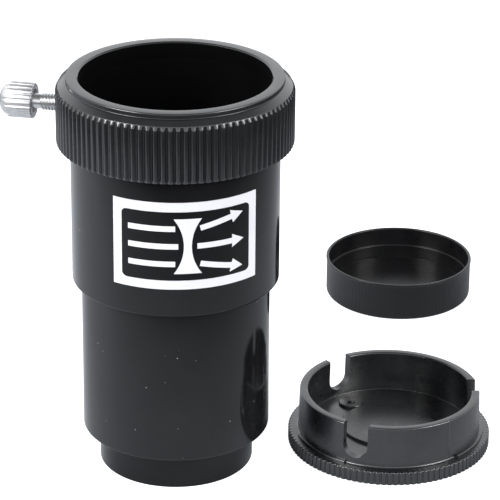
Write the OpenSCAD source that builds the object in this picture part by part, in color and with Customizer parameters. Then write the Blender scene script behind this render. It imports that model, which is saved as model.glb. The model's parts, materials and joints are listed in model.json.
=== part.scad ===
// Barlow lens for 1.25 inch telescope eyepieces, with its two dust caps.
// Origin: on the optical axis, at the end face of the nose. +Z points to the eyepiece end,
// the label faces -Y, and the clamp screw points to -X. All sizes are in millimetres.

/* [Body] */
// Height from the nose's end face to the eyepiece rim
total_h = 69.4; // [68.5:0.1:71]
// Radius of the bore that takes the eyepiece, a clearance fit on a 31.75 mm barrel
bore_r = 15.93; // [15.9:0.01:16]
// Outer radius of the tube that carries the label
tube_r = 17.4; // [17.2:0.1:17.6]
// Height of the tube's lower edge, which seats on the focuser
tube_bottom_z = 33.8; // [30:0.1:36]
// Height of the shoulder inside the tube that stops the eyepiece
stop_z = 42.4; // [41:0.1:46]
// Outer radius of the barrel that slides into the focuser
barrel_r = 15.85; // [15.7:0.01:15.87]
// Inner radius of the barrel
barrel_inner_r = 14.15; // [14.15:0.01:14.4]
// Outer radius of the nose
nose_r = 13.07; // [12.8:0.01:13.1]
// Length of the nose below the barrel
nose_h = 6.5; // [5.5:0.1:8]

/* [Collar] */
// Outer radius over the knurled ribs
knurl_r = 19.7; // [19.4:0.1:20]
// Depth of the grooves between the ribs
knurl_depth = 0.35; // [0.2:0.05:0.5]
// Number of ribs round the collar
knurl_count = 99; // [60:1:120]
// Height of the lower end of the knurled band
knurl_bottom_z = 58.05; // [56:0.05:59]
// Height of the upper end of the knurled band
knurl_top_z = 67.7; // [66.8:0.1:68]
// Outer radius of the plain rim above the knurled band
rim_r = 18; // [17.6:0.1:18.6]

/* [Clamp screw] */
// Height of the screw's axis
screw_z = 63; // [61.5:0.1:64]
// Angle by which the screw is turned from -X towards +Y
screw_turn = 12.2; // [0:0.1:30]
// Distance from the optical axis to the knob's inner face
knob_face = 23.8; // [23.5:0.1:25]
// Radius of the knob
knob_r = 3; // [2.8:0.1:4]
// Length of the knob
knob_len = 6; // [5.5:0.1:8]
// Number of flutes round the knob
knob_flutes = 17; // [13:1:24]
// Radius over the stud's thread crests
stud_r = 1.45; // [1.4:0.01:1.48]
// Pitch of the thread
thread_pitch = 0.5; // [0.45:0.05:0.7]
// Distance from the optical axis to the stud's tip with the screw slackened
stud_tip = 16.2; // [16.1:0.05:16.5]

/* [Optics] */
// Radius of the two glass elements
lens_r = 11.4; // [11:0.1:11.4]
// Radius of the clear opening below the glass
aperture_r = 10.6; // [9:0.1:10.6]
// Sag of the strongly hollow lower element's lower face
lower_sag = 0.9; // [0.3:0.1:1.1]
// Sag of the two faces that look at each other across the air gap
gap_sag = 1.2; // [0.5:0.1:1.3]
// Sag of the upper element's hollow upper face
upper_sag = 0.6; // [0.2:0.1:1]

/* [Label] */
// Angle of the label's middle from -Y towards +X
label_turn = 6.4; // [-20:0.1:20]
// Width of the label along the tube's surface
label_w = 25.4; // [20:0.1:30]
// Height of the label
label_h = 15.2; // [10:0.1:18]
// Height of the label's middle
label_mid_z = 46.4; // [44:0.1:48]
// Width of the white border
label_border = 1.6; // [1:0.1:2.5]

/* [Eyepiece plug cap] */
// Position of the cap beside the body
plug_x = 37; // [36.7:0.1:50]
plug_y = 4.7; // [4:0.1:20]
// Radius of the knurled flange
flange_r = 17.5; // [17:0.1:17.6]
// Thickness of the flange
flange_h = 2.4; // [2:0.1:3]
// Outer radius of the plug wall where it meets the flange
plug_r = 15.75; // [15.6:0.01:15.85]
// Height of the plug wall above the flange
plug_h = 7.35; // [6:0.05:9]
// Width of each relief slot in the plug wall
slot_w = 4.4; // [3:0.1:5]
// Depth of each relief slot from the wall's edge
slot_depth = 6.1; // [4:0.1:6.2]
// Direction of the first relief slot
slot_turn = 4.5; // [0:0.5:30]

/* [Nose cap] */
// Position of the cap beside the body
nose_cap_x = 43; // [40:0.1:60]
nose_cap_y = 66.7; // [50:0.1:80]
// Outer radius of the cap's lip
nose_cap_r = 13.95; // [13.9:0.05:14.5]
// Height of the cap
nose_cap_h = 7.3; // [6.5:0.1:9]

/* [Hidden] */
$fn = 96;

black = [0.10, 0.10, 0.11];
grey_black = [0.17, 0.17, 0.18];
print_white = "white";
through = 1;            // how far a cutter runs past the face it opens
joint_gap = 0.05;       // radial gap where one fixed piece enters another
edge = 0.3;             // small chamfer on moulded edges

// The collar slips over the tube and covers its upper end with a lip.
socket_r = tube_r + joint_gap;
tube_top_z = 66.5;
tube_edge = 0.2;
rim_wall_h = 0.7;
rim_edge = 0.15;
bore_chamfer = 0.25;
rib_end = 0.35;         // plain stretch below the ribs
core_sink = 0.15;       // depth of the collar's core below the grooves

// The barrel's spigot enters the tube from below and ends just under the eyepiece stop.
spigot_r = 15.2;
spigot_top_z = stop_z - 0.4;

// The lens cell screws into the barrel and holds its glass from above.
cell_thread_r = barrel_inner_r - joint_gap;
cell_top_z = nose_h + 5.5;
cell_bore_r = lens_r + 0.1;
mouth_flare = 1;        // widening of the nose's mouth below the glass
mouth_h = 1.2;
seat_z = 2.5;
cushion_h = 0.5;
concave_h = 3.6;
spacer_h = 0.3;
spacer_w = 0.35;
meniscus_h = 2.2;
ring_h = 1.6;
ring_slot_w = 1;        // spanner slots across the retaining ring
bevel = 0.4;            // flat margin round the hollow faces
upper_margin = 1;       // wider margin that the retaining ring presses on
concave_z = seat_z + cushion_h;
spacer_z = concave_z + concave_h;
meniscus_z = spacer_z + spacer_h;
ring_z = meniscus_z + meniscus_h;

// Two light baffles stand in the barrel.
baffle_h = 3;
baffle_plate = 0.8;
baffle_wall = 0.7;
lower_baffle_z = 19;
lower_baffle_r = 11;
upper_baffle_z = 31;
upper_baffle_r = 11.8;

// The brass insert sits in the tube and collar walls, hidden behind the collar's skin.
insert_r = 2.35;
insert_hole_r = insert_r + 0.02;
insert_bore_r = 1.55;
insert_in = 16;
insert_out = 18.6;
screw_clearance_r = 1.75;

// The stud's plain shank turns in the knob's blind bore.
shank_r = 1.25;
shank_fit = 0.05;
shank_end = 0.2;        // free length at the bottom of the knob's bore
thread_depth = 0.25;
thread_end = knob_face - 1.2;
tip_taper = 0.3;
tip_margin = 0.4;       // plain length between the tip and the first crest
knob_bore_len = 3;
knob_edge = 0.25;
knob_recess_r = 2;
knob_recess_h = 0.5;
dome_h = 1.9;
dome_steps = 8;
flute_depth = 0.22;

// The label is a white film with black print and a white mark on top.
film_t = 0.1;
print_t = 0.04;
panel_corner = 0.8;

plug_wall = 1.4;
plug_draft = 0.2;       // the plug wall leans in by this much towards its edge
plug_edge = 0.2;
wall_root = 0.5;        // how far a raised feature is rooted below the flange's face
flange_ribs = 106;
flange_rib_depth = 0.22;
floor_step = 0.5;       // raised middle of the plug cap's floor
floor_step_r = 8.2;
gate_at = 10.7;         // moulding gate, off the middle and in line with a slot
gate_r = 2.2;
gate_pip_r = 0.6;
gate_pip_h = 0.4;
skirt_angle = 46;       // each stretch of raised skirt outside the plug wall
skirt_lead = 52;
skirt_out = 0.6;
skirt_h = 0.5;
dish_r = 13.5;          // shallow hollow in the plug cap's outer face
dish_h = 0.8;

cap_lip_h = 0.6;        // height of the raised band outside the nose cap's lip
cap_ledge = 3.45;       // depth of the ledge inside, where the grip on the nose begins
cap_lip_out = 0.12;
cap_lip_wall = 0.55;
cap_lip_round = 0.2;
cap_lip_bevel = 0.15;
cap_floor_t = 1.2;
cap_round = 0.8;

// Points of a shallow arc from the axis out to radius r, hollow by sag, with its rim at height z.
function dish(r, z, sag, n = 12) =
    let (curve_r = (r * r + sag * sag) / (2 * sag))
    [for (i = [0:n])
        let (x = r * i / n)
        [x, z - sag + curve_r - sqrt(curve_r * curve_r - x * x)]];

function flip(points) = [for (i = [len(points) - 1:-1:0]) points[i]];

// Points of a quarter round of radius r about (x, z), from angle a to angle b.
function round_off(x, z, r, a, b, n = 6) =
    [for (i = [0:n])
        let (t = a + (b - a) * i / n)
        [x + r * cos(t), z + r * sin(t)]];

// Points of a ribbed circle: each rib has a flat crest and sloping sides.
function ribbed(r, depth, count) =
    [for (i = [0:count - 1], corner = [[0, 0], [0.2, 0], [0.45, 1], [0.75, 1]])
        let (t = 360 * (i + corner[0]) / count, p = r - depth * (1 - corner[1]))
        [p * cos(t), p * sin(t)]];

module ring(outer_r, inner_r, z, h) {
    translate([0, 0, z])
        difference() {
            cylinder(r = outer_r, h = h);
            translate([0, 0, -through])
                cylinder(r = inner_r, h = h + 2 * through);
        }
}

// Turns a shape so that its +Z axis runs outwards along the clamp screw.
module on_screw_axis() {
    translate([0, 0, screw_z])
        rotate([0, 0, 180 - screw_turn])
            rotate([0, 90, 0])
                children();
}

// Wraps a flat shape onto the tube: x runs along the label's width and y up the tube.
module on_label(inner_r, outer_r) {
    rotate([0, 0, label_turn])
        intersection() {
            ring(outer_r, inner_r, label_mid_z - label_h, 2 * label_h);
            translate([0, 0, label_mid_z])
                rotate([90, 0, 0])
                    linear_extrude(height = outer_r + through)
                        children();
        }
}

module rounded_panel(w, h, r) {
    square([w - 2 * r, h], center = true);
    square([w, h - 2 * r], center = true);
    for (x = [-1, 1], y = [-1, 1])
        translate([x * (w / 2 - r), y * (h / 2 - r)])
            circle(r = r, $fn = 32);
}

// Width seen from the front of an arc of this length on the tube's surface.
function flat_width(arc) = 2 * tube_r * sin(arc / (2 * tube_r) * 180 / PI);

module collar() {
    skin_r = knurl_r - knurl_depth;
    core_r = skin_r - core_sink;
    shoulder_z = total_h - rim_wall_h;
    steps = 6;
    color(black)
        difference() {
            union() {
                rotate_extrude()
                    polygon(concat(
                        [[0, knurl_bottom_z], [core_r - rib_end, knurl_bottom_z],
                         [core_r, knurl_bottom_z + rib_end], [core_r, knurl_top_z]],
                        [for (i = [0:steps])
                            let (t = 90 * i / steps)
                            [rim_r + (skin_r - rim_r) * cos(t),
                             knurl_top_z + (shoulder_z - knurl_top_z) * sin(t)]],
                        [[rim_r, total_h - rim_edge], [rim_r - rim_edge, total_h],
                         [0, total_h]]));
                translate([0, 0, knurl_bottom_z + rib_end])
                    linear_extrude(height = knurl_top_z - knurl_bottom_z - rib_end)
                        polygon(ribbed(knurl_r, knurl_depth, knurl_count));
            }
            translate([0, 0, knurl_bottom_z - through])
                cylinder(r = socket_r, h = tube_top_z - knurl_bottom_z + through);
            cylinder(r = bore_r, h = total_h + through);
            translate([0, 0, total_h - bore_chamfer])
                cylinder(r1 = bore_r, r2 = bore_r + 2 * bore_chamfer, h = 2 * bore_chamfer);
            on_screw_axis() {
                cylinder(r = insert_hole_r, h = insert_out);
                cylinder(r = screw_clearance_r, h = knurl_r + through);
            }
        }
}

module outer_tube() {
    color(black)
        difference() {
            rotate_extrude()
                polygon([
                    [spigot_r + joint_gap, tube_bottom_z],
                    [tube_r - tube_edge, tube_bottom_z],
                    [tube_r, tube_bottom_z + tube_edge], [tube_r, tube_top_z],
                    [bore_r, tube_top_z], [bore_r, stop_z],
                    [spigot_r + joint_gap, stop_z]
                ]);
            on_screw_axis()
                cylinder(r = insert_hole_r, h = insert_out);
        }
}

module nosepiece_barrel() {
    color(black)
        rotate_extrude()
            polygon([
                [barrel_inner_r, nose_h], [barrel_r - edge, nose_h],
                [barrel_r, nose_h + edge], [barrel_r, tube_bottom_z],
                [spigot_r, tube_bottom_z], [spigot_r, spigot_top_z],
                [barrel_inner_r, spigot_top_z]
            ]);
}

module lens_cell() {
    color(black)
        rotate_extrude()
            polygon([
                [aperture_r + mouth_flare, 0], [nose_r - edge, 0], [nose_r, edge],
                [nose_r, nose_h], [cell_thread_r, nose_h],
                [cell_thread_r, cell_top_z], [cell_bore_r, cell_top_z],
                [cell_bore_r, seat_z], [aperture_r, seat_z], [aperture_r, mouth_h]
            ]);
}

module lens_cushion() {
    color([0.05, 0.05, 0.05])
        ring(lens_r, aperture_r + joint_gap, seat_z, cushion_h);
}

// Element nearest the objective: hollow on both faces.
module concave_element() {
    lower = dish(lens_r - bevel, 0, lower_sag);
    upper = dish(lens_r - bevel, 0, gap_sag + 2 * joint_gap);
    color([0.75, 0.85, 0.9, 0.5])
        rotate_extrude()
            polygon(concat(
                [for (p = lower) [p[0], concave_z - p[1]]],
                [[lens_r, concave_z], [lens_r, spacer_z]],
                [for (p = flip(upper)) [p[0], spacer_z + p[1]]]));
}

module lens_spacer() {
    color("silver")
        ring(lens_r, lens_r - spacer_w, spacer_z, spacer_h);
}

// Element nearest the eyepiece: its lower face bulges into the first element's hollow.
module meniscus_element() {
    lower = dish(lens_r - bevel, 0, gap_sag);
    upper = dish(lens_r - upper_margin, 0, upper_sag);
    color([0.8, 0.88, 0.9, 0.5])
        rotate_extrude()
            polygon(concat(
                [for (p = lower) [p[0], meniscus_z + p[1]]],
                [[lens_r, meniscus_z], [lens_r, ring_z]],
                [for (p = flip(upper)) [p[0], ring_z + p[1]]]));
}

module retaining_ring() {
    color(black)
        difference() {
            ring(cell_bore_r - joint_gap, lens_r - upper_margin - 0.2, ring_z, ring_h);
            translate([0, 0, ring_z + ring_h])
                cube([2 * cell_bore_r, ring_slot_w, ring_h], center = true);
        }
}

// A washer-shaped light stop with a short skirt that grips the barrel.
module baffle(z, opening_r) {
    rotate_extrude()
        polygon([
            [opening_r, z], [barrel_inner_r, z], [barrel_inner_r, z + baffle_h],
            [barrel_inner_r - baffle_wall, z + baffle_h],
            [barrel_inner_r - baffle_wall, z + baffle_plate],
            [opening_r, z + baffle_plate]
        ]);
}

module lower_baffle() {
    color(grey_black)
        baffle(lower_baffle_z, lower_baffle_r);
}

module upper_baffle() {
    color(grey_black)
        baffle(upper_baffle_z, upper_baffle_r);
}

module threaded_insert() {
    color("goldenrod")
        on_screw_axis()
            ring(insert_r, insert_bore_r, insert_in, insert_out - insert_in);
}

module thumbscrew_stud() {
    root_r = stud_r - thread_depth;
    turns = floor((thread_end - stud_tip - tip_margin) / thread_pitch);
    start = thread_end - turns * thread_pitch;
    shank_top = knob_face + knob_bore_len - shank_end;
    color("silver")
        on_screw_axis()
            rotate_extrude()
                polygon(concat(
                    [[0, stud_tip], [root_r - tip_taper, stud_tip],
                     [root_r, stud_tip + tip_taper]],
                    [for (i = [0:turns - 1], corner = [[0, 0], [0.35, 1], [0.65, 1]])
                        [root_r + (stud_r - root_r) * corner[1],
                         start + (i + corner[0]) * thread_pitch]],
                    [[root_r, thread_end], [shank_r, thread_end + 0.1],
                     [shank_r, shank_top], [0, shank_top]]));
}

module thumbscrew_knob() {
    dome_r = (knob_r * knob_r + dome_h * dome_h) / (2 * dome_h);
    color("silver")
        on_screw_axis()
            translate([0, 0, knob_face])
                difference() {
                    intersection() {
                        linear_extrude(height = knob_len)
                            polygon(ribbed(knob_r, flute_depth, knob_flutes));
                        rotate_extrude()
                            polygon(concat(
                                [[0, 0], [knob_r - knob_edge, 0], [knob_r, knob_edge],
                                 [knob_r, knob_len - dome_h]],
                                [for (i = [1:dome_steps])
                                    let (x = knob_r * (1 - i / dome_steps))
                                    [x, knob_len - dome_r + sqrt(dome_r * dome_r - x * x)]]));
                    }
                    translate([0, 0, -through])
                        cylinder(r = knob_recess_r, h = knob_recess_h + through);
                    translate([0, 0, -through])
                        cylinder(r = shank_r + shank_fit, h = knob_bore_len + through);
                }
}

module label_film() {
    color(print_white)
        on_label(tube_r, tube_r + film_t)
            square([flat_width(label_w), label_h], center = true);
}

module label_panel() {
    color(black)
        on_label(tube_r + film_t, tube_r + film_t + print_t)
            rounded_panel(
                flat_width(label_w - 2 * label_border), label_h - 2 * label_border,
                panel_corner);
}

// A plain diagram of what the part does: parallel rays meet a hollow lens and spread.
module label_symbol() {
    bar = 0.95;                 // stroke width
    lens_w = 4.6;               // width of the lens at its rim
    lens_tall = label_h - 2 * label_border - 2.4;
    waist = 1.3;                // width of the lens at its middle
    reach = 9.4;                // half the width of the whole diagram
    gap = 0.9;                  // space between a ray and the lens
    ray_y = 3.1;                // spacing of the rays
    spread = 13;                // angle by which the outer rays turn
    head_l = 2;
    head_w = 1.15;
    hollow = (lens_w - waist) / 2;
    hollow_r = (lens_tall * lens_tall / 4 + hollow * hollow) / (2 * hollow);
    color(print_white)
        on_label(tube_r + film_t + print_t, tube_r + film_t + 2 * print_t) {
            difference() {
                square([lens_w, lens_tall], center = true);
                for (side = [-1, 1])
                    translate([side * (waist / 2 + hollow_r), 0])
                        circle(r = hollow_r);
            }
            for (row = [-1, 0, 1]) {
                inner_x = waist / 2 + gap + (row == 0 ? 0 : 0.5);
                translate([-reach, row * ray_y - bar / 2])
                    square([reach - inner_x, bar]);
                translate([inner_x, row * ray_y])
                    rotate([0, 0, row * spread]) {
                        translate([0, -bar / 2])
                            square([reach - inner_x - head_l, bar]);
                        translate([reach - inner_x - head_l, 0])
                            polygon([[0, -head_w], [head_l, 0], [0, head_w]]);
                    }
            }
        }
}

module eyepiece_plug_cap() {
    top_z = flange_h + plug_h;
    tip_r = plug_r - plug_draft;
    color(grey_black)
        translate([plug_x, plug_y, 0])
            difference() {
                union() {
                    linear_extrude(height = flange_h)
                        polygon(ribbed(flange_r, flange_rib_depth, flange_ribs));
                    rotate_extrude()
                        polygon([
                            [plug_r - plug_wall, flange_h - wall_root],
                            [plug_r, flange_h - wall_root], [plug_r, flange_h],
                            [tip_r, top_z - plug_edge], [tip_r - plug_edge, top_z],
                            [tip_r - plug_wall + plug_edge, top_z],
                            [tip_r - plug_wall, top_z - plug_edge],
                            [plug_r - plug_wall, flange_h]
                        ]);
                    cylinder(r = floor_step_r, h = flange_h + floor_step);
                    rotate([0, 0, slot_turn + 120])
                        translate([gate_at, 0, 0]) {
                            cylinder(r = gate_r, h = flange_h + floor_step);
                            cylinder(r = gate_pip_r, h = flange_h + floor_step + gate_pip_h);
                        }
                    for (i = [0:2])
                        rotate([0, 0, slot_turn - skirt_lead + 120 * i])
                            rotate_extrude(angle = skirt_angle)
                                translate([plug_r - wall_root, flange_h - wall_root])
                                    square([wall_root + skirt_out, wall_root + skirt_h]);
                }
                translate([0, 0, -through])
                    cylinder(r = dish_r, h = through + dish_h);
                for (i = [0:2])
                    rotate([0, 0, slot_turn + 120 * i])
                        translate([plug_r - 2 * plug_wall, 0, top_z - slot_depth]) {
                            translate([0, -slot_w / 2, slot_w / 2])
                                cube([3 * plug_wall, slot_w, slot_depth]);
                            translate([0, 0, slot_w / 2])
                                rotate([0, 90, 0])
                                    cylinder(r = slot_w / 2, h = 3 * plug_wall);
                        }
            }
}

module nose_cap() {
    top = nose_cap_h;
    wall_r = nose_cap_r - cap_lip_out;
    lip_inner_r = nose_cap_r - cap_lip_wall;
    grip_r = nose_r + joint_gap;
    color(grey_black)
        translate([nose_cap_x, nose_cap_y, 0])
            rotate_extrude()
                polygon(concat(
                    [[0, 0]],
                    round_off(wall_r - cap_round, cap_round, cap_round, -90, 0),
                    [[wall_r, top - cap_lip_h], [nose_cap_r, top - cap_lip_h / 2]],
                    round_off(nose_cap_r - cap_lip_round, top - cap_lip_round,
                              cap_lip_round, 0, 90, 3),
                    [[lip_inner_r + cap_lip_bevel, top], [lip_inner_r, top - cap_lip_bevel],
                     [lip_inner_r, top - cap_ledge], [grip_r, top - cap_ledge],
                     [grip_r, cap_floor_t], [0, cap_floor_t]]));
}

collar();
outer_tube();
nosepiece_barrel();
lens_cell();
lens_cushion();
concave_element();
lens_spacer();
meniscus_element();
retaining_ring();
lower_baffle();
upper_baffle();
threaded_insert();
thumbscrew_stud();
thumbscrew_knob();
label_film();
label_panel();
label_symbol();
eyepiece_plug_cap();
nose_cap();
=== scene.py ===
import json
import math

import bmesh
import bpy
from mathutils import Matrix, Vector


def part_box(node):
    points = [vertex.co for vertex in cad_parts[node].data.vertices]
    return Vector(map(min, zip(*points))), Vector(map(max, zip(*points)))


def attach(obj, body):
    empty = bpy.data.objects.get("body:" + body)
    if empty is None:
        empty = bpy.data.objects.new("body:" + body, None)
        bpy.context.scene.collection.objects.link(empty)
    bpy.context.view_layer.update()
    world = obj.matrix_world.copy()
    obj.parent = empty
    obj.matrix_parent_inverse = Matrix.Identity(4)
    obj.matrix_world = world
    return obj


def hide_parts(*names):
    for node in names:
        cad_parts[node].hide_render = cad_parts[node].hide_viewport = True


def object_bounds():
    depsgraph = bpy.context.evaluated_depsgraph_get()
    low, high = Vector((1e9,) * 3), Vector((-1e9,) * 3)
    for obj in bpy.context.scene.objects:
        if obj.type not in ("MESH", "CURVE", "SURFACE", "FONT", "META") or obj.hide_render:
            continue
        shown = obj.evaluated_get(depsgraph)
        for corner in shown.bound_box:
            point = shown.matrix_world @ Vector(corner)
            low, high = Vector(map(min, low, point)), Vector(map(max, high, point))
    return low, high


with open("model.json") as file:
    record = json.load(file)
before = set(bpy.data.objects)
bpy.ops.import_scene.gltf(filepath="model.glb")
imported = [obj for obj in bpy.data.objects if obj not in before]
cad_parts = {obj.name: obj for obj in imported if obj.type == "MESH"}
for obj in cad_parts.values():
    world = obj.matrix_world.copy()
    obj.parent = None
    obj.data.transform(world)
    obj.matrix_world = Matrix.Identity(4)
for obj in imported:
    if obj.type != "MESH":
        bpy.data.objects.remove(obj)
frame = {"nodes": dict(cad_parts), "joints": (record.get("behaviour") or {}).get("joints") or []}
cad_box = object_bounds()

# Lengths are in millimetres and are scaled to metres when a mesh is made. The stage, the lights
# and the camera are in metres.
MM = 0.001
TURN = 2 * math.pi


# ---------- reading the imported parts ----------

def box_mm(node):
    lo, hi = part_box(node)
    return Vector(lo) / MM, Vector(hi) / MM


def middle(node):
    lo, hi = box_mm(node)
    return ((lo.x + hi.x) / 2, (lo.y + hi.y) / 2)


def bottom(node):
    return box_mm(node)[0].z


def top(node):
    return box_mm(node)[1].z


def radius(node):
    lo, hi = box_mm(node)
    return (hi.y - lo.y) / 2


def joint(name):
    return next(j for j in frame["joints"] if j["name"] == name)


# ---------- sizes: collar ----------

COLLAR_BOTTOM = bottom("collar")
TOTAL_H = top("collar")
KNURL_R = radius("collar")
KNURL_TOP = 67.7
SHOULDER_R = 18.35       # the sloping shoulder between the rim and the ribs ends here
SHOULDER_Z = 68.45
RIM_R = 18.0
RIBS = 99
RIB_DEPTH = 0.35
RIB_CREST = 0.6          # where in each pitch the CAD rib has its crest
RIB_ROUND = 0.19         # half the rounded crest's width, as a share of the pitch
RIB_FOOT = 0.40          # where the rib's side meets the groove
RIB_DROP = 0.26          # how far the crest falls to where the straight sides begin
RIB_SAMPLES = (0.0, 0.1, 0.2, 0.3, 0.41, 0.46, 0.51, 0.555, 0.6, 0.645, 0.69, 0.74, 0.79, 0.9)

# ---------- sizes: tube, barrel, lens cell ----------

TUBE_R = radius("outer_tube")
TUBE_BOTTOM = bottom("outer_tube")
TUBE_TOP = top("outer_tube")
BARREL_R = radius("nosepiece_barrel")
BARREL_BOTTOM = bottom("nosepiece_barrel")
BARREL_TOP = top("nosepiece_barrel")
BARREL_INNER_R = radius("lower_baffle")
BORE_R = 15.93
STOP_Z = BARREL_TOP + 0.4
SPIGOT_R = 15.2
JOINT_GAP = 0.05
NOSE_R = 13.07
CELL_TOP = top("lens_cell")
APERTURE_R = 10.6
APERTURE_RIM_H = 1.2     # height at which the aperture opens out towards the front

# ---------- sizes: optics ----------

SEAT_Z = bottom("lens_cushion")
LENS_R = radius("concave_element")
LENS_FLAT = 0.4          # flat ring round a lens's curved face
LENS_BREAK = 0.06        # broken corner of a lens's edge
CONCAVE_SAGS = (0.9, 1.3)        # depth of the lower and the upper face
MENISCUS_SAGS = (1.2, 0.6)
RING_WALL = 1.2
RING_SLOT_W = 1.0
RING_SLOT_DEPTH = 0.8
BAFFLE_PLATE = 0.8
BAFFLE_WALL = 0.7
LOWER_OPENING_R = 11.0
UPPER_OPENING_R = 11.8

# ---------- sizes: clamp screw ----------

SCREW_IN = Vector(joint("screw_advance")["axis"]).normalized()
SCREW_OUT = -SCREW_IN
SCREW_Z = Vector(joint("screw_turn")["pos_m"]).z / MM
INSERT_HOLE = (2.37, 14.0, 18.6)         # radius, then both ends along the screw
SCREW_HOLE = (1.75, 14.0, 22.0)
STUD_TIP = 16.2
STUD_R = 1.45
SHANK_R = 1.25
SHANK_IN_KNOB = 2.8
THREAD_PITCH = 0.5
THREAD_DEPTH = 0.25
THREAD_RUN_IN = 0.3      # length over which the thread rises at the tip
THREAD_RUN_OUT = 0.25    # and over which it fades at the knob
THREAD_SHAPE = ((0.0, 0.0), (0.3, 0.85), (0.4, 1.0), (0.5, 1.0), (0.6, 0.85), (0.9, 0.0))
KNOB_FACE = 23.8
THREAD_END = KNOB_FACE - 1.2
KNOB_R = 3.0
KNOB_LEN = 6.0
KNOB_DOME_H = 1.9
KNOB_HOLLOW_R = 2.0      # shallow hollow in the face towards the collar
KNOB_HOLLOW_DEPTH = 0.5
KNOB_HOLE_DEPTH = 3.0
FLUTES = 17
FLUTE_DEPTH = 0.17
FLUTE_INNER_R = 2.3      # the flutes fade out here
FLUTE_SAMPLES = (0.0, 0.1, 0.18, 0.21, 0.27, 0.36, 0.48, 0.6, 0.72, 0.84, 0.93, 0.99)

# ---------- sizes: caps ----------

PLUG_AT = middle("eyepiece_plug_cap")
PLUG_TOP = top("eyepiece_plug_cap")
PLUG_R = 15.75
PLUG_TIP_R = PLUG_R - 0.2
PLUG_WALL = 1.4
FLANGE_R = radius("eyepiece_plug_cap")
FLANGE_H = 2.4
FLANGE_RIBS = 106
FLANGE_RIB_DEPTH = 0.22
FLANGE_SAMPLES = (0.0, 0.1, 0.2, 0.24, 0.32, 0.46, 0.6, 0.74, 0.88, 0.96)
PLATEAU_R = 8.2          # raised middle of the plug cap's floor
PLATEAU_H = 0.5
UNDERSIDE_R = 13.5       # hollow under the flange
UNDERSIDE_H = 0.8
SLOTS = 3
SLOT_STEP = 360 / SLOTS
SLOT_W = 4.4
SLOT_DEPTH = 6.1
SLOT_TURN = 4.5
SKIRT_OUT = 0.6          # low raised skirt round the foot of the plug wall
SKIRT_H = 0.5
SKIRT_START = SLOT_TURN - 52
SKIRT_SWEEP = 46
GATE_R = 10.7            # where the moulding gate's mark lies
SEAM_TURN = 306.3        # the mould's parting line on the outside of the plug wall
SEAM_HALF = 0.25
SEAM_H = 0.08

CUP_AT = middle("nose_cap")
CUP_R = radius("nose_cap")
CUP_TOP = top("nose_cap")
CUP_WALL_R = CUP_R - 0.12
CUP_LIP_WALL = 0.55
CUP_BAND = 0.6           # height of the band round the outside of the lip
CUP_LEDGE = 3.45         # depth of the step inside
CUP_FLOOR = 1.2
CUP_RIBS = 120
CUP_RIB_DEPTH = 0.03


# ---------- mesh helpers ----------

def mesh_object(name, points, faces, smooth_deg=38):
    mesh = bpy.data.meshes.new(name)
    mesh.from_pydata([Vector(p) * MM for p in points], [], faces)
    mesh.validate()
    mesh.shade_smooth()
    mesh.set_sharp_from_angle(angle=math.radians(smooth_deg))
    obj = bpy.data.objects.new(name, mesh)
    bpy.context.scene.collection.objects.link(obj)
    return obj


def finish_piece(obj, body, slot, material, *nodes):
    obj.data.materials.clear()
    obj.data.materials.append(material)
    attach(obj, body)
    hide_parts(*nodes)
    return obj


def blacken_inside(obj, r):
    """Gives every face nearer the axis than r the matt black of a light path, darker than the
    outside: partly real blackening, partly painted shade in the bore.
    """
    obj.data.materials.append(BORE_MATT_AND_SHADE)
    for face in obj.data.polygons:
        if face.center.xy.length < r * MM:
            face.material_index = 1
    return obj


def fillet(corners, steps=5):
    """A closed outline of (r, z, rounding) corners, with each rounding turned into an arc."""
    out = []
    count = len(corners)
    for i, (x, y, r) in enumerate(corners):
        here = Vector((x, y))
        before = Vector(corners[i - 1][:2]) - here
        after = Vector(corners[(i + 1) % count][:2]) - here
        if r <= 0 or before.length < 1e-6 or after.length < 1e-6:
            out.append((x, y))
            continue
        half = before.angle(after) / 2
        reach = min(r / math.tan(half), before.length * 0.49, after.length * 0.49)
        arc_r = reach * math.tan(half)
        start = here + before.normalized() * reach
        end = here + after.normalized() * reach
        centre = here + (before.normalized() + after.normalized()).normalized() * (
            arc_r / math.sin(half))
        a, b = start - centre, end - centre
        sweep = a.angle_signed(b)
        for k in range(steps + 1):
            t = -sweep * k / steps
            out.append((centre.x + a.x * math.cos(t) - a.y * math.sin(t),
                        centre.y + a.x * math.sin(t) + a.y * math.cos(t)))
    return out


def lathe(name, outline, angles=None, centre=(0, 0), wave=None, smooth_deg=38):
    """Turns a closed outline of (r, z) points about the vertical through centre.
    wave(angle, r, z) gives how much the radius changes there."""
    if angles is None:
        angles = [TURN * i / 256 for i in range(256)]
    n = len(angles)
    points, rows = [], []
    for r, z in outline:
        if r < 1e-6:
            rows.append([len(points)] * n)
            points.append((centre[0], centre[1], z))
            continue
        rows.append(list(range(len(points), len(points) + n)))
        for a in angles:
            rr = r + (wave(a, r, z) if wave else 0)
            points.append((centre[0] + rr * math.cos(a), centre[1] + rr * math.sin(a), z))
    faces = []
    for i, row in enumerate(rows):
        after = rows[(i + 1) % len(rows)]
        for k in range(n):
            m = (k + 1) % n
            corners = [row[k], row[m], after[m], after[k]]
            face = [c for j, c in enumerate(corners) if c != corners[j - 1]]
            if len(set(face)) >= 3:
                faces.append(face)
    return outward(mesh_object(name, points, faces, smooth_deg), smooth_deg)


def outward(obj, smooth_deg=38):
    """Makes every face of a closed piece look outwards."""
    bm = bmesh.new()
    bm.from_mesh(obj.data)
    bmesh.ops.recalc_face_normals(bm, faces=bm.faces)
    bm.to_mesh(obj.data)
    bm.free()
    obj.data.shade_smooth()
    obj.data.set_sharp_from_angle(angle=math.radians(smooth_deg))
    return obj


def baked(obj, smooth_deg=38):
    """Applies the piece's modifiers."""
    graph = bpy.context.evaluated_depsgraph_get()
    made = bpy.data.meshes.new_from_object(obj.evaluated_get(graph))
    obj.modifiers.clear()
    obj.data = made
    made.shade_smooth()
    made.set_sharp_from_angle(angle=math.radians(smooth_deg))
    return obj


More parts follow.
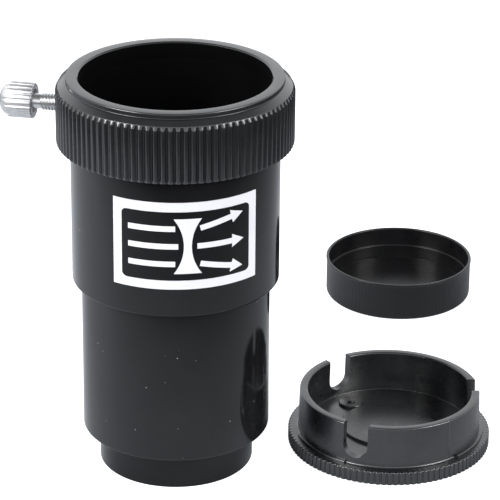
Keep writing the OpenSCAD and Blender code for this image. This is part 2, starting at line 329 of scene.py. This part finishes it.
def cut(obj, *cutters, operation="DIFFERENCE", smooth_deg=38):
    """Cuts the cutters out of a piece, or joins them to it, and removes them."""
    for cutter in cutters:
        mod = obj.modifiers.new("cut", "BOOLEAN")
        mod.operation = operation
        mod.solver = "EXACT"
        mod.object = cutter
        baked(obj, smooth_deg)
        bpy.data.objects.remove(cutter, do_unlink=True)
    return obj


def on_screw_axis(obj):
    """Turns a piece made about +Z so that it lies along the clamp screw."""
    turn = Vector((0, 0, 1)).rotation_difference(SCREW_OUT).to_matrix().to_4x4()
    obj.data.transform(Matrix.Translation((0, 0, SCREW_Z * MM)) @ turn)
    return obj


def rod(name, r, z0, z1, steps=64):
    return lathe(name, [(0, z0), (r, z0), (r, z1), (0, z1)],
                 [TURN * i / steps for i in range(steps)])


def hole_along_screw(r, z0, z1):
    return on_screw_axis(rod("hole", r, z0, z1))


# ---------- materials ----------

class Nodes:
    """A short way to build one material's node tree."""

    def __init__(self, name):
        self.material = bpy.data.materials.new(name)
        self.material.use_nodes = True
        self.tree = self.material.node_tree
        self.shader = self.tree.nodes["Principled BSDF"]

    def add(self, kind, **values):
        node = self.tree.nodes.new(kind)
        for key, value in values.items():
            if key in node.inputs:
                node.inputs[key].default_value = value
            else:
                setattr(node, key, value)
        return node

    def link(self, source, target):
        self.tree.links.new(source, target)

    def place(self, stretch=(1, 1, 1), shift=(0, 0, 0)):
        coords = self.add("ShaderNodeTexCoord")
        mapping = self.add("ShaderNodeMapping")
        mapping.inputs["Scale"].default_value = stretch
        mapping.inputs["Location"].default_value = shift
        self.link(coords.outputs["Object"], mapping.inputs["Vector"])
        return mapping.outputs["Vector"]

    def noise(self, scale, detail=3.0, stretch=(1, 1, 1)):
        node = self.add("ShaderNodeTexNoise", Scale=scale, Detail=detail)
        self.link(self.place(stretch), node.inputs["Vector"])
        return node.outputs["Fac"]

    def ramp(self, factor, low, high, start=0.35, end=0.65):
        node = self.add("ShaderNodeValToRGB")
        node.color_ramp.elements[0].position = start
        node.color_ramp.elements[1].position = end
        node.color_ramp.elements[0].color = (*low, 1)
        node.color_ramp.elements[1].color = (*high, 1)
        self.link(factor, node.inputs["Fac"])
        return node.outputs["Color"]

    def spread(self, factor, low, high, start=0.3, end=0.7):
        node = self.add("ShaderNodeMapRange")
        for key, value in zip(("From Min", "From Max", "To Min", "To Max"),
                              (start, end, low, high)):
            node.inputs[key].default_value = value
        self.link(factor, node.inputs["Value"])
        return node.outputs["Result"]

    def bump(self, height, strength, distance_mm, after=None):
        node = self.add("ShaderNodeBump", Strength=strength, Distance=distance_mm * MM)
        self.link(height, node.inputs["Height"])
        if after is not None:
            self.link(after, node.inputs["Normal"])
        return node.outputs["Normal"]


DUST_EDGE = (0.80, 0.815)        # how rare the dust specks are, and how sharp


def plastic(name, dark, light, rough, ior=1.45, grain=9000, grain_mm=0.004,
            grain_strength=0.1, dust=0.0, wave=120):
    """Moulded plastic: slightly uneven colour and gloss, a fine grain and optional dust specks."""
    n = Nodes(name)
    colour = n.ramp(n.noise(wave, 4), dark, light)
    if dust:
        specks = n.ramp(n.noise(1500, 1), (0, 0, 0), (dust, dust, dust), *DUST_EDGE)
        mix = n.add("ShaderNodeMix", data_type="RGBA", blend_type="ADD")
        mix.inputs["Factor"].default_value = 1
        n.link(colour, mix.inputs["A"])
        n.link(specks, mix.inputs["B"])
        colour = mix.outputs["Result"]
    n.link(colour, n.shader.inputs["Base Color"])
    n.link(n.spread(n.noise(wave * 2, 3), *rough), n.shader.inputs["Roughness"])
    n.link(n.bump(n.noise(grain, 2), grain_strength, grain_mm), n.shader.inputs["Normal"])
    n.shader.inputs["IOR"].default_value = ior
    return n.material


def metal(name, dark, light, rough, stretch=(1, 1, 1), scale=1500):
    """Turned metal: fine tool marks in its colour, gloss and relief."""
    n = Nodes(name)
    marks = n.noise(scale, 3, stretch)
    n.link(n.ramp(marks, dark, light), n.shader.inputs["Base Color"])
    n.link(n.spread(marks, *rough), n.shader.inputs["Roughness"])
    n.link(n.bump(marks, 0.1, 0.004), n.shader.inputs["Normal"])
    n.shader.inputs["Metallic"].default_value = 1
    return n.material


def glass(name, tint, ior):
    n = Nodes(name)
    n.link(n.ramp(n.noise(60, 2), tint, (1, 1, 1)), n.shader.inputs["Base Color"])
    n.link(n.spread(n.noise(400, 2), 0.01, 0.03), n.shader.inputs["Roughness"])
    n.shader.inputs["IOR"].default_value = ior
    n.shader.inputs["Transmission Weight"].default_value = 1
    n.shader.inputs["Coat Weight"].default_value = 0.4
    n.shader.inputs["Coat Tint"].default_value = (0.55, 0.4, 0.9, 1)
    return n.material


GLOSS = plastic("gloss_black", (0.0065, 0.0065, 0.007), (0.0085, 0.0085, 0.009),
                (0.08, 0.11), dust=0.3)
CELL = plastic("cell_black", (0.003, 0.003, 0.0035), (0.005, 0.005, 0.0055), (0.12, 0.17),
               ior=1.38)
SATIN = plastic("collar_black", (0.006, 0.006, 0.0066), (0.009, 0.009, 0.0097),
                (0.20, 0.27), ior=1.78, grain_mm=0.006, grain_strength=0.2)
CAP = plastic("cap_black", (0.003, 0.0032, 0.004), (0.005, 0.0055, 0.0065),
              (0.24, 0.32), ior=1.85, grain_mm=0.006, grain_strength=0.2, wave=180)
SMALL_CAP = plastic("small_cap_black", (0.0025, 0.0025, 0.003), (0.004, 0.004, 0.0045),
                    (0.26, 0.34), ior=1.45, grain_mm=0.01, grain_strength=0.3, wave=180)
# Matt black of the light path, made darker still so that the bore reads black: partly real
# blackening, partly painted shade.
BORE_MATT_AND_SHADE = plastic("matt_black_and_painted_shade", (0.0008, 0.0008, 0.0009), (0.0015, 0.0015, 0.0016),
                (0.8, 0.95), ior=1.12)
RUBBER = plastic("cushion_rubber", (0.01, 0.01, 0.01), (0.02, 0.02, 0.02), (0.6, 0.75))
KNOB = metal("bright_metal", (0.60, 0.60, 0.61), (0.68, 0.68, 0.68), (0.36, 0.46))
STUD = metal("stud_metal", (0.66, 0.66, 0.67), (0.76, 0.76, 0.76), (0.24, 0.34))
BRASS = metal("brass", (0.6, 0.42, 0.16), (0.78, 0.57, 0.26), (0.2, 0.32))
SPACER = metal("foil", (0.6, 0.6, 0.61), (0.8, 0.8, 0.8), (0.2, 0.3))
LABEL_WHITE = plastic("label_white", (0.74, 0.74, 0.77), (0.80, 0.80, 0.83), (0.3, 0.38),
                      grain_mm=0.003)
LABEL_BLACK = plastic("label_black", (0.003, 0.003, 0.0035), (0.005, 0.005, 0.0055),
                      (0.22, 0.28), grain_mm=0.003)
LABEL_MARK = plastic("label_mark", (0.76, 0.76, 0.79), (0.82, 0.82, 0.85), (0.3, 0.38),
                     grain_mm=0.003)
CROWN = glass("crown_glass", (0.96, 0.98, 1.0), 1.52)
FLINT = glass("flint_glass", (0.97, 0.98, 0.96), 1.62)


# ---------- collar ----------

def rib_angles(count, samples):
    return [TURN * (i + s) / count for i in range(count) for s in samples]


def ridge_height(angle):
    """The collar's rib: a rounded crest, straight sides and a narrow groove."""
    off = abs((angle / TURN * RIBS) % 1.0 - RIB_CREST)
    off = min(off, 1 - off)
    if off <= RIB_ROUND:
        return 1 - RIB_DROP * (off / RIB_ROUND) ** 2
    return max(0.0, (1 - RIB_DROP) * (RIB_FOOT - off) / (RIB_FOOT - RIB_ROUND))


def rib_height(angle, count, half):
    """0 in a groove, 1 on a crest, rounded between."""
    share = (angle / TURN * count) % 1.0
    off = abs(share - RIB_CREST) / half
    return math.sqrt(1 - off * off) if off < 1 else 0.0


def build_collar():
    groove_r = KNURL_R - RIB_DEPTH
    band = [(COLLAR_BOTTOM + 0.02, 0.45), (COLLAR_BOTTOM + 0.15, 0.8),
            (COLLAR_BOTTOM + 0.35, 1.0), (KNURL_TOP - 0.62, 1.0),
            (KNURL_TOP - 0.54, 0.95), (KNURL_TOP - 0.08, 0.1), (KNURL_TOP, 0.0)]
    full = {round(z, 4): share for z, share in band}
    outline = [(groove_r, z) for z, share in band]
    outline += fillet([(groove_r - 0.02, KNURL_TOP + 0.08, 0.06), (SHOULDER_R, SHOULDER_Z, 0.5),
                       (RIM_R, SHOULDER_Z + 0.1, 0.1), (RIM_R, TOTAL_H, 0.2),
                       (BORE_R + 0.25, TOTAL_H, 0.06), (BORE_R, TOTAL_H - 0.25, 0.05),
                       (BORE_R, TUBE_TOP, 0.03), (TUBE_R + JOINT_GAP, TUBE_TOP, 0.03),
                       (TUBE_R + JOINT_GAP, COLLAR_BOTTOM, 0.08)], 4)
    outline.append((groove_r, COLLAR_BOTTOM))

    def wave(angle, r, z):
        if abs(r - groove_r) > 1e-6:
            return 0.0
        return RIB_DEPTH * full.get(round(z, 4), 0.0) * ridge_height(angle)

    obj = lathe("collar_ribbed", outline, rib_angles(RIBS, RIB_SAMPLES), wave=wave,
                smooth_deg=40)
    cut(obj, hole_along_screw(*INSERT_HOLE), hole_along_screw(*SCREW_HOLE), smooth_deg=40)
    obj = finish_piece(obj, "barlow", "collar_plastic", SATIN, "collar")
    return blacken_inside(obj, BORE_R + 0.1)


# ---------- tube, barrel, lens cell ----------

def build_tube():
    outline = fillet([(SPIGOT_R + JOINT_GAP, TUBE_BOTTOM, 0.05), (TUBE_R, TUBE_BOTTOM, 0.32),
                      (TUBE_R, TUBE_TOP, 0.05), (BORE_R, TUBE_TOP, 0.05),
                      (BORE_R, STOP_Z, 0.05), (SPIGOT_R + JOINT_GAP, STOP_Z, 0.05)])
    obj = lathe("outer_tube_moulded", outline)
    cut(obj, hole_along_screw(*INSERT_HOLE))
    obj = finish_piece(obj, "barlow", "tube_plastic", GLOSS, "outer_tube")
    return blacken_inside(obj, BORE_R + 0.1)


def build_barrel():
    outline = fillet([(BARREL_INNER_R, BARREL_BOTTOM, 0.05), (BARREL_R, BARREL_BOTTOM, 0.35),
                      (BARREL_R, TUBE_BOTTOM, 0.02), (SPIGOT_R, TUBE_BOTTOM, 0.02),
                      (SPIGOT_R, BARREL_TOP, 0.1), (BARREL_INNER_R, BARREL_TOP, 0.1)])
    obj = finish_piece(lathe("barrel_moulded", outline), "barlow", "barrel_plastic", GLOSS,
                       "nosepiece_barrel")
    return blacken_inside(obj, BARREL_INNER_R + 0.1)


def build_lens_cell():
    outline = fillet([(APERTURE_R + 1, 0, 0.05), (NOSE_R, 0, 0.3), (NOSE_R, BARREL_BOTTOM, 0.02),
                      (BARREL_INNER_R - JOINT_GAP, BARREL_BOTTOM, 0.02),
                      (BARREL_INNER_R - JOINT_GAP, CELL_TOP, 0.15),
                      (LENS_R + 0.1, CELL_TOP, 0.1), (LENS_R + 0.1, SEAT_Z, 0),
                      (APERTURE_R, SEAT_Z, 0.05), (APERTURE_R, APERTURE_RIM_H, 0.1)])
    return finish_piece(lathe("lens_cell_moulded", outline), "barlow", "cell_plastic", CELL,
                        "lens_cell")


# ---------- optics ----------

def arc(r, sag, steps=24):
    """Heights of a shallow bowl above its middle, from the axis out to radius r."""
    curve = (r * r + sag * sag) / (2 * sag)
    return [(r * i / steps, curve - math.sqrt(curve * curve - (r * i / steps) ** 2))
            for i in range(steps + 1)]


def build_lens(node, name, lower, upper, edge_z, slot, material):
    """A lens from its two faces, with a plain edge whose corners are broken."""
    high = top(node)
    edge = [(LENS_R - LENS_BREAK, edge_z), (LENS_R, edge_z + LENS_BREAK),
            (LENS_R, high - LENS_BREAK), (LENS_R - LENS_BREAK, high)]
    obj = lathe(name, lower + edge + upper[::-1], smooth_deg=20)
    return finish_piece(obj, "barlow", slot, material, node)


def build_concave():
    low, high = bottom("concave_element"), top("concave_element")
    below, above = CONCAVE_SAGS
    lower = [(r, low + below - h) for r, h in arc(LENS_R - LENS_FLAT, below)]
    upper = [(r, high - above + h) for r, h in arc(LENS_R - LENS_FLAT, above)]
    return build_lens("concave_element", "concave_glass", lower, upper, low,
                      "crown_glass", CROWN)


def build_meniscus():
    low, high = bottom("meniscus_element"), top("meniscus_element")
    below, above = MENISCUS_SAGS
    lower = [(r, low + h) for r, h in arc(LENS_R - LENS_FLAT, below)]
    upper = [(r, high - above + h) for r, h in arc(LENS_R - 1, above)]
    return build_lens("meniscus_element", "meniscus_glass", lower, upper, low + below,
                      "flint_glass", FLINT)


def bar(half_x, half_y, z0, z1):
    points = [(x, y, z) for z in (z0, z1) for x, y in (
        (-half_x, -half_y), (half_x, -half_y), (half_x, half_y), (-half_x, half_y))]
    return outward(mesh_object("slot", points, [
        (0, 1, 2, 3), (4, 5, 6, 7), (0, 1, 5, 4), (1, 2, 6, 5), (2, 3, 7, 6), (3, 0, 4, 7)]))


def build_retaining_ring():
    low, high = bottom("retaining_ring"), top("retaining_ring")
    outer, inner = radius("retaining_ring"), LENS_R - RING_WALL
    obj = lathe("retaining_ring_slotted", fillet([
        (inner, low, 0.08), (outer, low, 0.08), (outer, high, 0.15), (inner, high, 0.3)]))
    cut(obj, bar(outer + 1, RING_SLOT_W / 2, high - RING_SLOT_DEPTH, high + 1))
    return finish_piece(obj, "barlow", "ring_metal", SATIN, "retaining_ring")


def build_baffle(node, opening_r):
    low, high = bottom(node), top(node)
    wall_inner = BARREL_INNER_R - BAFFLE_WALL
    obj = lathe(node + "_moulded", fillet([
        (opening_r, low, 0.1), (BARREL_INNER_R, low, 0.1), (BARREL_INNER_R, high, 0.1),
        (wall_inner, high, 0.1), (wall_inner, low + BAFFLE_PLATE, 0.15),
        (opening_r, low + BAFFLE_PLATE, 0.2)]))
    return finish_piece(obj, "barlow", "baffle_plastic", BORE_MATT_AND_SHADE, node)


# ---------- clamp screw ----------

def thread_height(angle, height):
    """One ridge that climbs a pitch in each turn, and fades at both ends."""
    share = ((height - STUD_TIP) / THREAD_PITCH - angle / TURN) % 1.0
    level = 0.0
    for (a, level_a), (b, level_b) in zip(THREAD_SHAPE, THREAD_SHAPE[1:]):
        if a <= share <= b:
            level = level_a + (level_b - level_a) * (share - a) / (b - a)
            break
    fade = min(1.0, max(0.0, (height - STUD_TIP - THREAD_RUN_IN) / THREAD_RUN_IN),
               max(0.0, (THREAD_END - height) / THREAD_RUN_OUT))
    return THREAD_DEPTH * level * fade


def build_stud():
    """A rod with a true helical thread, then a plain shank."""
    root = STUD_R - THREAD_DEPTH
    start = STUD_TIP + THREAD_RUN_IN
    step = THREAD_PITCH / 12
    heights = [start + i * step for i in range(int((THREAD_END - start) / step))]
    outline = [(0, STUD_TIP), (root - 0.3, STUD_TIP)]
    outline += [(root, h) for h in heights]
    outline += [(root, THREAD_END), (SHANK_R, THREAD_END + 0.1),
                (SHANK_R, KNOB_FACE + SHANK_IN_KNOB), (0, KNOB_FACE + SHANK_IN_KNOB)]

    def wave(angle, r, z):
        threaded = abs(r - root) < 1e-6 and z < THREAD_END - 1e-6
        return thread_height(angle, z) if threaded else 0.0

    angles = [TURN * i / 40 for i in range(40)]
    obj = on_screw_axis(lathe("stud_threaded", outline, angles, wave=wave, smooth_deg=60))
    return finish_piece(obj, "clamp_stud", "stud_metal", STUD, "thumbscrew_stud")


def knob_dome():
    """The dome's outline from the side to the axis, as part of one sphere."""
    end = KNOB_FACE + KNOB_LEN
    curve = (KNOB_R ** 2 + KNOB_DOME_H ** 2) / (2 * KNOB_DOME_H)
    radii = [KNOB_R * math.cos(math.radians(a)) for a in range(8, 91, 6)]
    return [(r, end - curve + math.sqrt(curve ** 2 - r ** 2)) for r in radii] + [(0, end)]


def build_knob():
    bore_r = SHANK_R + JOINT_GAP
    hollow = KNOB_FACE + KNOB_HOLLOW_DEPTH
    outline = fillet([(bore_r, hollow, 0.05), (KNOB_HOLLOW_R, hollow, 0.05),
                      (KNOB_HOLLOW_R, KNOB_FACE, 0.08), (KNOB_R, KNOB_FACE, 0.25),
                      (KNOB_R, KNOB_FACE + KNOB_LEN - KNOB_DOME_H, 0)], 4)
    outline += knob_dome()
    outline += [(0, KNOB_FACE + KNOB_HOLE_DEPTH), (bore_r, KNOB_FACE + KNOB_HOLE_DEPTH)]

    def wave(angle, r, z):
        if r < FLUTE_INNER_R:
            return 0.0
        share = (r - FLUTE_INNER_R) / (KNOB_R - FLUTE_INNER_R)
        return -FLUTE_DEPTH * share * (1 - rib_height(angle, FLUTES, 0.42))

    obj = lathe("knob_fluted", outline, rib_angles(FLUTES, FLUTE_SAMPLES), wave=wave,
                smooth_deg=45)
    return finish_piece(on_screw_axis(obj), "clamp_knob", "knob_metal", KNOB,
                        "thumbscrew_knob")


# ---------- caps ----------

def at_plug(angle_deg, r):
    a = math.radians(angle_deg)
    return (PLUG_AT[0] + r * math.cos(a), PLUG_AT[1] + r * math.sin(a))


def swept(name, rings):
    """A closed piece through matching rings of points, with a face over each end."""
    n = len(rings[0])
    points = [p for ring in rings for p in ring]
    faces = [tuple(range(n)), tuple(range(len(points) - 1, len(points) - n - 1, -1))]
    faces += [(k * n + i, k * n + (i + 1) % n, (k + 1) * n + (i + 1) % n, (k + 1) * n + i)
              for k in range(len(rings) - 1) for i in range(n)]
    return outward(mesh_object(name, points, faces))


def slot_cutter(angle_deg):
    """A slot with a half-round bottom, as a bar that points outwards."""
    half = SLOT_W / 2
    floor = PLUG_TOP - SLOT_DEPTH
    steps = 20
    shape = [(-half, PLUG_TOP + 1)] + [
        (-half * math.cos(math.pi * i / steps), floor + half - half * math.sin(math.pi * i / steps))
        for i in range(steps + 1)] + [(half, PLUG_TOP + 1)]
    a = math.radians(angle_deg)
    out, side = Vector((math.cos(a), math.sin(a))), Vector((-math.sin(a), math.cos(a)))
    rings = []
    for r in (PLUG_R - 2 * PLUG_WALL, PLUG_R + PLUG_WALL):
        places = [(Vector(PLUG_AT) + out * r + side * s, z) for s, z in shape]
        rings.append([(p.x, p.y, z) for p, z in places])
    return swept("slot", rings)


def skirt_piece(start_deg):
    """One stretch of the low raised skirt round the foot of the plug wall."""
    steps = 40
    inner, outer = PLUG_R - 0.5, PLUG_R + SKIRT_OUT
    section = fillet([(inner, FLANGE_H - 0.5, 0), (outer, FLANGE_H - 0.5, 0),
                      (outer, FLANGE_H + SKIRT_H, 0.2), (inner, FLANGE_H + SKIRT_H, 0)])
    return swept("skirt", [[(*at_plug(start_deg + SKIRT_SWEEP * k / steps, r), z)
                            for r, z in section] for k in range(steps + 1)])


def gate_mark():
    """The round mark that the moulding gate leaves on the floor."""
    foot, step, tip = FLANGE_H - 0.4, FLANGE_H + 0.45, FLANGE_H + 0.85
    outline = [(0, foot)] + fillet([(2.2, foot, 0), (2.2, step, 0.2), (0.6, step, 0.1),
                                    (0.6, tip, 0.15)]) + [(0, tip)]
    angles = [TURN * i / 48 for i in range(48)]
    return lathe("gate", outline, angles, at_plug(SLOT_TURN + SLOT_STEP, GATE_R))


def plug_outline():
    plateau_z = FLANGE_H + PLATEAU_H
    outline = [(0, UNDERSIDE_H), (0, plateau_z)]
    return outline + fillet([
        (PLATEAU_R - 1, plateau_z, 0), (PLATEAU_R, plateau_z, 0.25),
        (PLATEAU_R + 0.3, FLANGE_H, 0.3), (PLUG_R - PLUG_WALL, FLANGE_H, 0.12),
        (PLUG_TIP_R - PLUG_WALL, PLUG_TOP, 0.25), (PLUG_TIP_R, PLUG_TOP, 0.25),
        (PLUG_R, FLANGE_H, 0.35), (FLANGE_R, FLANGE_H, 0.2), (FLANGE_R, 0, 0.2),
        (UNDERSIDE_R, 0, 0.2), (UNDERSIDE_R, UNDERSIDE_H, 0.3), (12.0, UNDERSIDE_H, 0)])


def plug_wave(angle, r, z):
    """The parting line on the wall and the ribs on the flange."""
    if PLUG_TIP_R - 0.3 < r <= PLUG_R and z > FLANGE_H:
        off = abs((angle - math.radians(SEAM_TURN) + math.pi) % TURN - math.pi) * r
        return SEAM_H * max(0.0, 1 - off / SEAM_HALF)
    if r < FLANGE_R - 0.25 or z > FLANGE_H + 0.01:
        return 0.0
    return -FLANGE_RIB_DEPTH * (1 - rib_height(angle, FLANGE_RIBS, 0.4))


def build_plug_cap():
    obj = lathe("plug_cap_moulded", plug_outline(), rib_angles(FLANGE_RIBS, FLANGE_SAMPLES),
                PLUG_AT, plug_wave)
    for i in range(SLOTS):
        cut(obj, skirt_piece(SKIRT_START + SLOT_STEP * i), operation="UNION")
    for i in range(SLOTS):
        cut(obj, slot_cutter(SLOT_TURN + SLOT_STEP * i))
    cut(obj, gate_mark(), operation="UNION")
    return finish_piece(obj, "plug_cap", "plug_cap_plastic", CAP, "eyepiece_plug_cap")


def build_nose_cap():
    band, ledge = CUP_TOP - CUP_BAND, CUP_TOP - CUP_LEDGE
    lip_inner, grip = CUP_R - CUP_LIP_WALL, NOSE_R + JOINT_GAP
    outline = [(0, 0)]
    outline += fillet([(CUP_WALL_R - 2, 0, 0), (CUP_WALL_R, 0, 0.8), (CUP_WALL_R, band, 0.1),
                       (CUP_R, CUP_TOP - 0.3, 0.1), (CUP_R, CUP_TOP, 0.26),
                       (lip_inner, CUP_TOP, 0.22), (lip_inner, ledge, 0.08),
                       (grip, ledge, 0.16), (grip, CUP_FLOOR, 0.03), (grip - 2, CUP_FLOOR, 0)])
    outline += [(0, CUP_FLOOR)]

    def wave(angle, r, z):
        if abs(r - CUP_WALL_R) < 0.01 and z < band:
            return -CUP_RIB_DEPTH * (1 - rib_height(angle, CUP_RIBS, 0.45))
        return 0.0

    angles = rib_angles(CUP_RIBS, (0.0, 0.2, 0.4, 0.6, 0.8))
    return finish_piece(lathe("nose_cap_moulded", outline, angles, CUP_AT, wave), "small_cap",
                        "nose_cap_plastic", SMALL_CAP, "nose_cap")


# ---------- carried-over parts ----------

def dress(node, material):
    """Gives a CAD part that is shown as it is its material."""
    data = frame["nodes"][node].data
    for i in range(len(data.materials)):
        data.materials[i] = material
    if not data.materials:
        data.materials.append(material)


# ---------- stage, light, camera ----------

FLOOR_HALF = 3.0
# The floor's colour is painted light and shade: a painted pool of light that fades to painted shade
# further off, which the dark plastics reflect.
FLOOR_LOW = (0.047, 0.049, 0.052)
FLOOR_HIGH = (0.60, 0.625, 0.66)
FLOOR_PAINTED_LIGHT_POOL = (-0.08, 0.06, 0)    # a painted pool of light: the floor's colour is lightest here, with painted shade further off
FLOOR_PAINTED_LIGHT_REACH = (0.40, 0.30, 1)
FLOOR_FADE = (0.24, 0.75)
FLOOR_GLOW = 0.95        # what the floor adds in the picture, not in reflections
WORLD_TINT = (0.95, 0.975, 1, 1)
WORLD_LOW = 1.4          # the studio's walls
WORLD_HIGH = 0.22        # its ceiling
WORLD_FADE = (0.45, 0.8)         # how high the walls turn into the ceiling
CENTRE = (cad_box[0] + cad_box[1]) / 2
KEY_PLACE, KEY_WATTS = (-0.75, -0.45, 0.6), 11.0
FILL_PLACE, FILL_WATTS = (0.75, -0.45, 0.55), 7.0
LIGHT_SIZE = 0.5
CAMERA_PLACE = Vector((0.11, -448.48, 236.09)) * MM
CAMERA_YAW = math.radians(1.576)
CAMERA_PITCH = math.radians(23.815)
CAMERA_ROLL = math.radians(0.483)
CAMERA_LENS = 210.46
CAMERA_SENSOR = 36.0


def floor_material():
    n = Nodes("floor_glow_and_painted_light_pool")
    # Painted pool of light on the floor: its colour is lighter round one place and darker further
    # off.
    near = n.add("ShaderNodeTexGradient", gradient_type="SPHERICAL")
    pool = n.place([1 / r for r in FLOOR_PAINTED_LIGHT_REACH],
                   [-p / r for p, r in zip(FLOOR_PAINTED_LIGHT_POOL, FLOOR_PAINTED_LIGHT_REACH)])
    n.link(pool, near.inputs["Vector"])
    n.link(n.ramp(near.outputs["Fac"], FLOOR_LOW, FLOOR_HIGH, *FLOOR_FADE),
           n.shader.inputs["Base Color"])
    n.shader.inputs["Roughness"].default_value = 0.9
    n.shader.inputs["Specular IOR Level"].default_value = 0
    n.shader.inputs["Emission Color"].default_value = (1, 1, 1, 1)
    seen = n.add("ShaderNodeLightPath").outputs["Is Camera Ray"]
    n.link(n.spread(seen, 0.0, FLOOR_GLOW, 0.0, 1.0), n.shader.inputs["Emission Strength"])
    return n.material


def build_floor():
    half = FLOOR_HALF
    mesh = bpy.data.meshes.new("floor")
    mesh.from_pydata([(-half, -half, 0), (half, -half, 0), (half, half, 0), (-half, half, 0)],
                     [], [(0, 1, 2, 3)])
    floor = bpy.data.objects.new("floor", mesh)
    bpy.context.scene.collection.objects.link(floor)
    floor.location.z = cad_box[0].z
    mesh.materials.append(floor_material())


def build_world():
    world = bpy.data.worlds.new("studio")
    bpy.context.scene.world = world
    world.use_nodes = True
    nodes, links = world.node_tree.nodes, world.node_tree.links
    background = nodes["Background"]
    background.inputs["Color"].default_value = WORLD_TINT
    coords = nodes.new("ShaderNodeTexCoord")
    split = nodes.new("ShaderNodeSeparateXYZ")
    fade = nodes.new("ShaderNodeMapRange")
    for key, value in zip(("From Min", "From Max", "To Min", "To Max"),
                          (*WORLD_FADE, WORLD_LOW, WORLD_HIGH)):
        fade.inputs[key].default_value = value
    links.new(coords.outputs["Generated"], split.inputs["Vector"])
    links.new(split.outputs["Z"], fade.inputs["Value"])
    links.new(fade.outputs["Result"], background.inputs["Strength"])


def build_light(name, place, power):
    """A soft square light at a place seen from the object's middle, aimed back at it."""
    data = bpy.data.lights.new(name, "AREA")
    data.energy = power
    data.size = LIGHT_SIZE
    light = bpy.data.objects.new(name, data)
    bpy.context.scene.collection.objects.link(light)
    light.location = CENTRE + Vector(place)
    light.rotation_mode = "QUATERNION"
    light.rotation_quaternion = (-Vector(place)).to_track_quat("-Z", "Y")


def build_camera():
    yaw, pitch, roll = CAMERA_YAW, CAMERA_PITCH, CAMERA_ROLL
    forward = Vector((math.sin(yaw) * math.cos(pitch), math.cos(yaw) * math.cos(pitch),
                      -math.sin(pitch)))
    level = Vector((math.cos(yaw), -math.sin(yaw), 0))
    up = level.cross(forward)
    right = math.cos(roll) * level + math.sin(roll) * up
    top_way = math.cos(roll) * up - math.sin(roll) * level
    data = bpy.data.cameras.new("camera")
    data.lens, data.sensor_width = CAMERA_LENS, CAMERA_SENSOR
    data.clip_start, data.clip_end = 0.01, 20
    camera = bpy.data.objects.new("camera", data)
    bpy.context.scene.collection.objects.link(camera)
    turn = Matrix((right, top_way, -forward)).transposed().to_4x4()
    camera.matrix_world = Matrix.Translation(CAMERA_PLACE) @ turn
    bpy.context.scene.camera = camera


build_collar()
build_tube()
build_barrel()
build_lens_cell()
build_concave()
build_meniscus()
build_retaining_ring()
build_baffle("lower_baffle", LOWER_OPENING_R)
build_baffle("upper_baffle", UPPER_OPENING_R)
build_stud()
build_knob()
build_plug_cap()
build_nose_cap()
for node, material in (("lens_cushion", RUBBER), ("lens_spacer", SPACER),
                       ("threaded_insert", BRASS), ("label_film", LABEL_WHITE),
                       ("label_panel", LABEL_BLACK), ("label_symbol", LABEL_MARK)):
    dress(node, material)
build_floor()
build_world()
build_light("key", KEY_PLACE, KEY_WATTS)
build_light("fill", FILL_PLACE, FILL_WATTS)
build_camera()
bpy.context.scene.view_settings.view_transform = "Standard"
